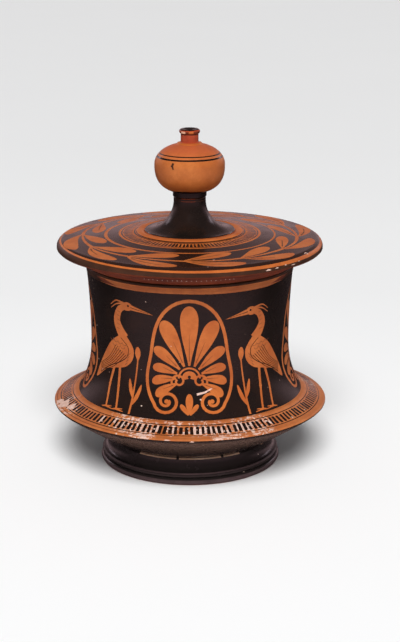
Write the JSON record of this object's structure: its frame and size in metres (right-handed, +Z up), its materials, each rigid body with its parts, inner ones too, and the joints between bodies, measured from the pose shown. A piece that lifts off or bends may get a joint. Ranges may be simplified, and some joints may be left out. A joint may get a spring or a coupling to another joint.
{
  "type": "lidded pottery box",
  "caption": "Round footed pottery box with a concave wall, a projecting flange and a lift-off domed lid raised by a stemmed, fruit-shaped knob.",
  "frame": {"origin": "centre of the foot's resting surface", "axes": "+Z up along the axis that every member is turned round, +X to the right and -Y towards the front of the pictured view"},
  "size_m": [0.1358, 0.1358, 0.1662],
  "materials": {
    "black_gloss": "semi-gloss black slip with brown thin places",
    "reserved_clay": "smooth burnished orange clay",
    "red_wash": "smooth clay with a dull red wash"
  },
  "bodies": {
    "box": {"ring_foot": "black_gloss", "floor_bowl": "black_gloss", "projecting_flange": "reserved_clay", "drum_wall": "black_gloss"},
    "lid": {"locating_ring": "reserved_clay", "seat_moulding": "red_wash", "lid_plate": "black_gloss", "stem_collar": "reserved_clay", "knob_stem": "black_gloss", "knob_bulb": "reserved_clay", "knob_finial": "red_wash"}
  },
  "joints": [
    {"name": "lid_lift", "type": "slide", "parent": "box", "child": "lid", "axis": [0, 0, 1], "range_m": [0, 0.08]}
  ]
}
